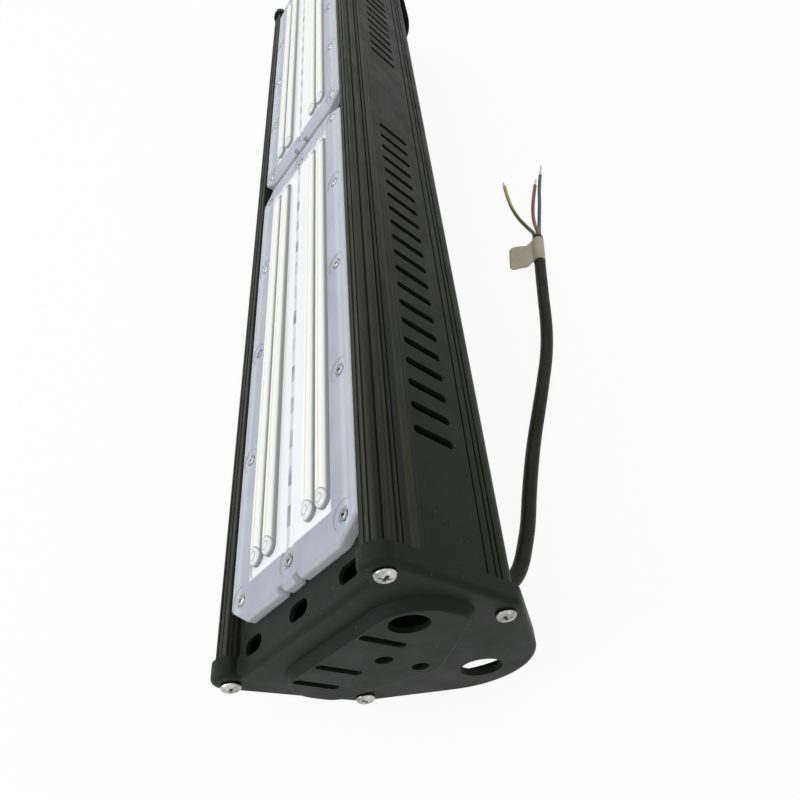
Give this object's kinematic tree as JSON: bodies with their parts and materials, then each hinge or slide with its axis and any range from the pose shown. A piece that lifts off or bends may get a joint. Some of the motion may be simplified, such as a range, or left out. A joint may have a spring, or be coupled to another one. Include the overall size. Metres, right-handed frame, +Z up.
{
  "type": "linear high bay light",
  "caption": "Long vented aluminium high bay luminaire with clear-ribbed lens modules, domed end caps with hanging holes, and a mains cord.",
  "frame": {"origin": "on the floor, under the middle of the light as it lies on the sloped edges of its end caps", "axes": "+Z up, +Y along the light from its corded end, +X towards the hanging tabs"},
  "size_m": [0.221, 0.633, 0.1238],
  "materials": {
    "housing_coat": "matte powder coat",
    "screw": "bright zinc plated",
    "lens": "clear polycarbonate with a frosted frame",
    "gasket": "matte",
    "board": "white solder mask",
    "chip": "phosphor",
    "driver_case": "satin",
    "plated_steel": "zinc plated",
    "lead": "matte",
    "sheath": "satin",
    "gland_plastic": "matte",
    "core_earth": "green and yellow stripe",
    "core_live": "satin",
    "core_neutral": "satin",
    "tinned_copper": "bright",
    "label": "matte film"
  },
  "bodies": {
    "root": {"housing": "housing_coat", "end_cap_near": "housing_coat", "end_cap_far": "housing_coat", "cap_screws": "screw", "lens_near": "lens", "lens_gasket_near": "gasket", "led_board_near": "board", "led_chips_near": "chip", "lens_far": "lens", "lens_gasket_far": "gasket", "led_board_far": "board", "led_chips_far": "chip", "lens_screws": "screw", "driver": "driver_case", "driver_strap_near": "plated_steel", "driver_strap_far": "plated_steel", "driver_screws": "screw", "led_lead_near": "lead", "lead_grommet_near": "gasket", "led_lead_far": "lead", "lead_grommet_far": "gasket", "inlet_lead": "sheath", "gland_body": "gland_plastic", "gland_nut": "gland_plastic", "gland_seal": "gasket", "gland_washer": "gasket", "gland_locknut": "gland_plastic", "power_cord": "sheath", "core_earth": "core_earth", "core_live": "core_live", "core_neutral": "core_neutral", "core_tips": "tinned_copper", "cord_label": "label"}
  },
  "joints": []
}
